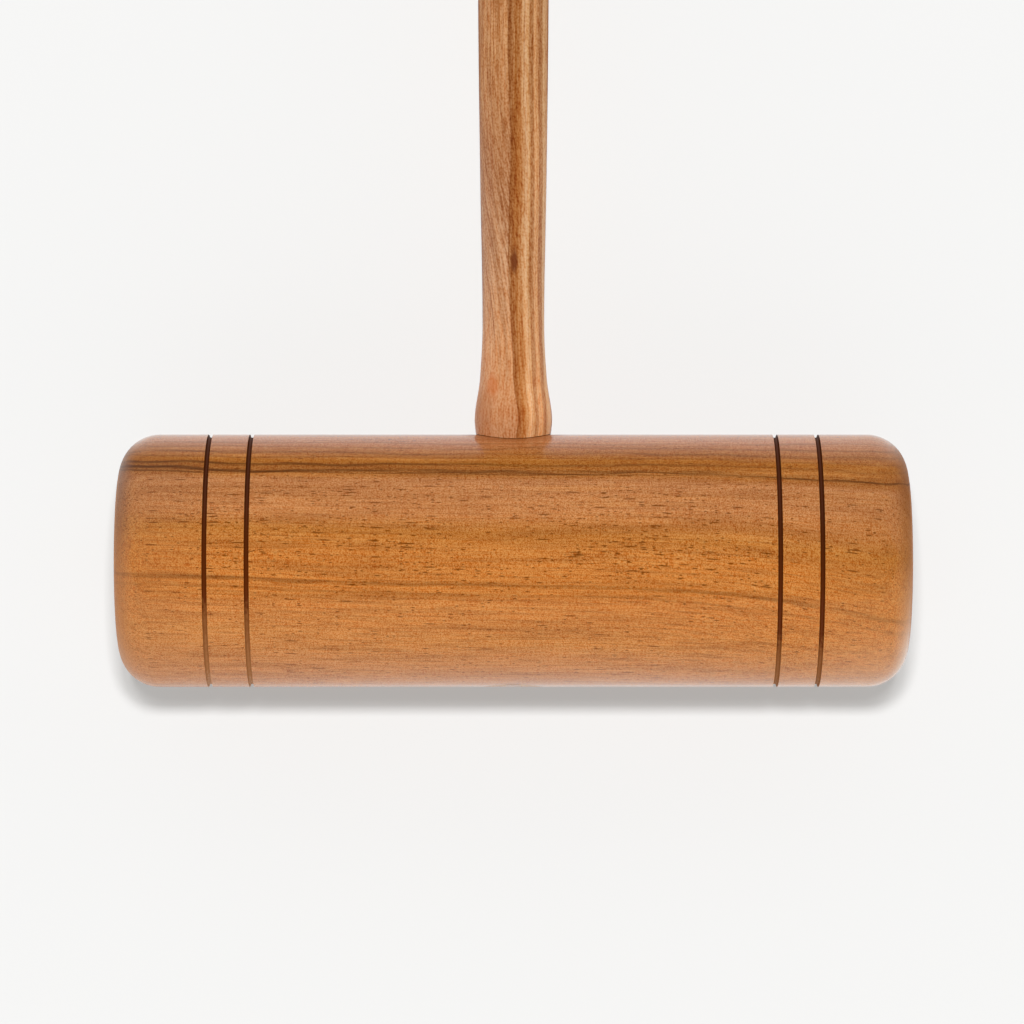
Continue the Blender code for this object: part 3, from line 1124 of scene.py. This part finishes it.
def lacquered_ash():
    """Ash, turned and lacquered: pale dense bands between brown porous ones on the side of the rings,
    and slanting streaks of the fibres where the last year's growth lies flat to the surface."""
    material, tree, on_mallet = new_wood("lacquered_ash")
    across, depth, height = add(tree, "SeparateXYZ", {"Vector": on_mallet}).outputs
    front = add(tree, "Math", {0: depth, 1: -1.0}, operation="MULTIPLY")
    facing = add(tree, "CombineXYZ", {"X": across, "Y": height, "Z": front.outputs[0]})
    turned = add(tree, "Mapping", {"Vector": facing.outputs[0], "Rotation": (0.0, RING_TURN, 0.0)})
    side, length, outward = add(tree, "SeparateXYZ", {"Vector": turned.outputs[0]}).outputs
    lean = add(
        tree,
        "MapRange",
        {"Value": height, "From Min": LEAN_LOW, "From Max": LEAN_HIGH, "To Max": LEAN},
        interpolation_type="SMOOTHSTEP",
    )
    leaning = add(tree, "Math", {0: side, 1: lean.outputs[0]})
    fibre = add(tree, "CombineXYZ", {"X": leaning.outputs[0], "Y": length, "Z": outward}).outputs[0]
    inward, pale = shaft_rings(tree, fibre, height, outward)

    rings = layered(tree, inward, SHAFT_LAYERS)["Color"]
    rings = streaked(tree, fibre, rings, RING_TINTS)
    # rings made paler near the foot: painted light against the shade of the head
    rings = add(tree, "VectorMath", {0: rings, "Scale": pale}, operation="SCALE").outputs[0]
    # paler towards the foot: partly painted light against the shade of the head
    plain = layered(tree, height, OUTER_COLOURS_AND_FOOT_LIGHT)["Color"]
    outer = streaked(tree, fibre, plain, FIBRE_TINTS)
    calm = add(
        tree,
        "MapRange",
        {"Value": height, "From Min": CALM_HIGH, "From Max": CALM_LOW, "To Max": CALM_AMOUNT},
    )
    outer = add(tree, "Mix", {0: calm.outputs[0], 6: outer, 7: plain}, data_type="RGBA").outputs[2]
    inner = add(tree, "MapRange", {"Value": inward, "From Min": EDGE_OUTSIDE, "From Max": EDGE_INSIDE})
    body = add(tree, "Mix", {0: inner.outputs[0], 6: outer, 7: rings}, data_type="RGBA").outputs[2]
    body = mottled(tree, fibre, body, SHAFT_MOTTLES)
    body = knots(tree, on_mallet, fibre, body)
    body = shaft_ends(tree, height, body)
    finish_wood(tree, body, shaft_gloss(tree, height), SHAFT_ROUGHNESS)
    return material


# The wedge's streaks: their size, colours and gloss
WEDGE_STREAK_SIZE = (0.5, 0.5, 12.0)
WEDGE_STREAKS = ((0.3, "8A5324"), (0.7, "C08048"))
WEDGE_GLOSS = 0.9


def sheesham_offcut():
    """The wedge is split from the head's own wood and lacquered with it: straight, close streaks."""
    material, tree, on_mallet = new_wood("sheesham_offcut")
    body = add(
        tree,
        "ValToRGB",
        {"Fac": patchy(tree, on_mallet, WEDGE_STREAK_SIZE)},
        stops=[(place, srgb(colour)) for place, colour in WEDGE_STREAKS],
    )
    finish_wood(tree, body.outputs["Color"], WEDGE_GLOSS, LACQUER_ROUGHNESS)
    return material


# Camera, floor and light

CAMERA_HEIGHT = 1.5  # above the head's axis
CAMERA_PLACE = (-0.0004, 0.0142, HEAD_RADIUS + CAMERA_HEIGHT)
CAMERA_LENS = 181.0
CAMERA_SENSOR = 36.0
CAMERA_CLIP_END = 200.0

STUDIO_WHITE = "F6F6F4"
CEILING_GREY = 0.15
WALL_TOP = 0.16  # heights in the studio, from 0 for level to 1 for straight up
CEILING = 0.32
WALL_RISE = -0.94  # what lies before or behind counts as lower, so the walls there stand high
WALL_LEAN = 0.10  # and what lies past the butt as a little higher

FLOOR_SIZE = 80.0
TABLE_GREY = 0.25
TABLE_ROUGHNESS = 0.9
TABLE_WHITE = 0.92  # how bright the studio's white is
TABLE_GLOW = 0.36  # the table's own share of it, under the mallet

# Lamps: distances in metres, and widths and reaches as seen from the mallet
LAMP_TILT = math.radians(10.0)
OVERHEAD_DISTANCE = 200.0
OVERHEAD_WIDTH = math.radians(2)
OVERHEAD_REACH = math.radians(6)
OVERHEAD_STRENGTH = 1.9
TABLE_LAMP_HEIGHT = 1.45
TABLE_LAMP_WIDTH = math.radians(5)
TABLE_LAMP_REACH = math.radians(4.5)
TABLE_LAMP_STRENGTH = 4.4
TABLE_LAMP_AHEAD = TABLE_LAMP_HEIGHT * math.tan(LAMP_TILT)


def make_camera():
    """Straight above the head, looking down, with the shaft up the picture."""
    data = bpy.data.cameras.new("camera")
    data.lens = CAMERA_LENS
    data.sensor_width = CAMERA_SENSOR
    data.clip_end = CAMERA_CLIP_END
    camera = bpy.data.objects.new("camera", data)
    camera.location = CAMERA_PLACE
    bpy.context.scene.collection.objects.link(camera)
    bpy.context.scene.camera = camera


def make_floor():
    """A white light table: its lamp draws the head's shadow on it, and it glows by itself, the more so
    the less of the lamp it gets, which keeps it one even white out to its edge."""
    bpy.ops.object.select_all(action="DESELECT")
    bpy.ops.mesh.primitive_plane_add(size=FLOOR_SIZE)
    floor = bpy.context.object
    floor.name = "floor"
    material = bpy.data.materials.new("white_table")
    material.use_nodes = True
    tree = material.node_tree
    place = add(tree, "TexCoord").outputs["Object"]
    under_lamp = (0.0, TABLE_LAMP_AHEAD, 0.0)
    away = add(tree, "VectorMath", {0: place, 1: under_lamp}, operation="DISTANCE").outputs["Value"]
    slant = add(tree, "Math", {0: away, 1: TABLE_LAMP_HEIGHT}, operation="DIVIDE").outputs[0]
    spread = add(tree, "Math", {0: slant, 1: slant, 2: 1.0}, operation="MULTIPLY_ADD").outputs[0]
    received = add(tree, "Math", {0: spread, 1: -2.0}, operation="POWER").outputs[0]
    lit = TABLE_LAMP_STRENGTH * TABLE_GREY / math.pi / TABLE_WHITE
    full = TABLE_GLOW + lit * math.cos(LAMP_TILT) ** 4
    glow = add(tree, "Math", {0: received, 1: -lit, 2: full}, operation="MULTIPLY_ADD").outputs[0]
    shader = tree.nodes["Principled BSDF"]
    shader.inputs["Base Color"].default_value = grey(TABLE_GREY)
    shader.inputs["Roughness"].default_value = TABLE_ROUGHNESS
    shader.inputs["Specular IOR Level"].default_value = 0.0
    shader.inputs["Emission Color"].default_value = srgb(STUDIO_WHITE)
    tree.links.new(glow, shader.inputs["Emission Strength"])
    floor.data.materials.append(material)
    return floor


def make_walls():
    """White walls before and behind, low ones at the sides, and a dim ceiling."""
    world = bpy.data.worlds.new("studio")
    world.use_nodes = True
    tree = world.node_tree
    tree.nodes.clear()
    direction = add(tree, "TexCoord").outputs["Generated"]
    _, ahead, up = add(tree, "SeparateXYZ", {"Vector": direction}).outputs
    facing = add(tree, "Math", {0: ahead}, operation="ABSOLUTE")
    lower = add(tree, "Math", {0: facing.outputs[0], 1: WALL_RISE, 2: up}, operation="MULTIPLY_ADD")
    rise = add(tree, "Math", {0: ahead, 1: WALL_LEAN, 2: lower.outputs[0]}, operation="MULTIPLY_ADD")
    walls = add(
        tree,
        "ValToRGB",
        {"Fac": rise.outputs[0]},
        stops=[(WALL_TOP, srgb(STUDIO_WHITE)), (CEILING, grey(CEILING_GREY))],
    )
    sky = add(tree, "Background", {"Color": walls.outputs["Color"], "Strength": 1.0})
    add(tree, "OutputWorld", {"Surface": sky.outputs[0]})
    bpy.context.scene.world = world


def lamp(name, strength, distance, tilt, width, reach):
    """A long soft lamp above the mallet, in line with the shaft. It leaves no streak in the lacquer."""
    data = bpy.data.lights.new(name, "AREA")
    data.shape = "RECTANGLE"
    data.size = 2 * distance * math.tan(width / 2)
    data.size_y = 2 * distance * math.tan(reach / 2)
    data.energy = strength * math.pi * distance**2
    fitting = bpy.data.objects.new(name, data)
    fitting.rotation_euler = (-tilt, 0.0, 0.0)
    fitting.visible_glossy = False
    bpy.context.scene.collection.objects.link(fitting)
    return fitting


def make_lamps(floor, head):
    """A far lamp for everything, and a near one that lights only the table, where only the head shades it."""
    overhead = lamp(
        "overhead", OVERHEAD_STRENGTH, OVERHEAD_DISTANCE, LAMP_TILT, OVERHEAD_WIDTH, OVERHEAD_REACH
    )
    overhead.location = (
        0.0,
        OVERHEAD_DISTANCE * math.sin(LAMP_TILT),
        OVERHEAD_DISTANCE * math.cos(LAMP_TILT),
    )
    table_lamp = lamp(
        "table_lamp", TABLE_LAMP_STRENGTH, TABLE_LAMP_HEIGHT, 0.0, TABLE_LAMP_WIDTH, TABLE_LAMP_REACH
    )
    table_lamp.location = (0.0, TABLE_LAMP_AHEAD, TABLE_LAMP_HEIGHT)
    links = table_lamp.light_linking
    links.receiver_collection = bpy.data.collections.new("table")
    links.receiver_collection.objects.link(floor)
    links.blocker_collection = bpy.data.collections.new("shadow_caster")
    links.blocker_collection.objects.link(head)


make_camera()
sole_round = sole_form()
head = make_head(lacquered_sheesham(), scorched_wood())
make_shaft(lacquered_ash(), sole_round)
make_wedge(sheesham_offcut(), sole_round)
floor = make_floor()
make_walls()
make_lamps(floor, head)
bpy.context.scene.view_settings.view_transform = "Standard"
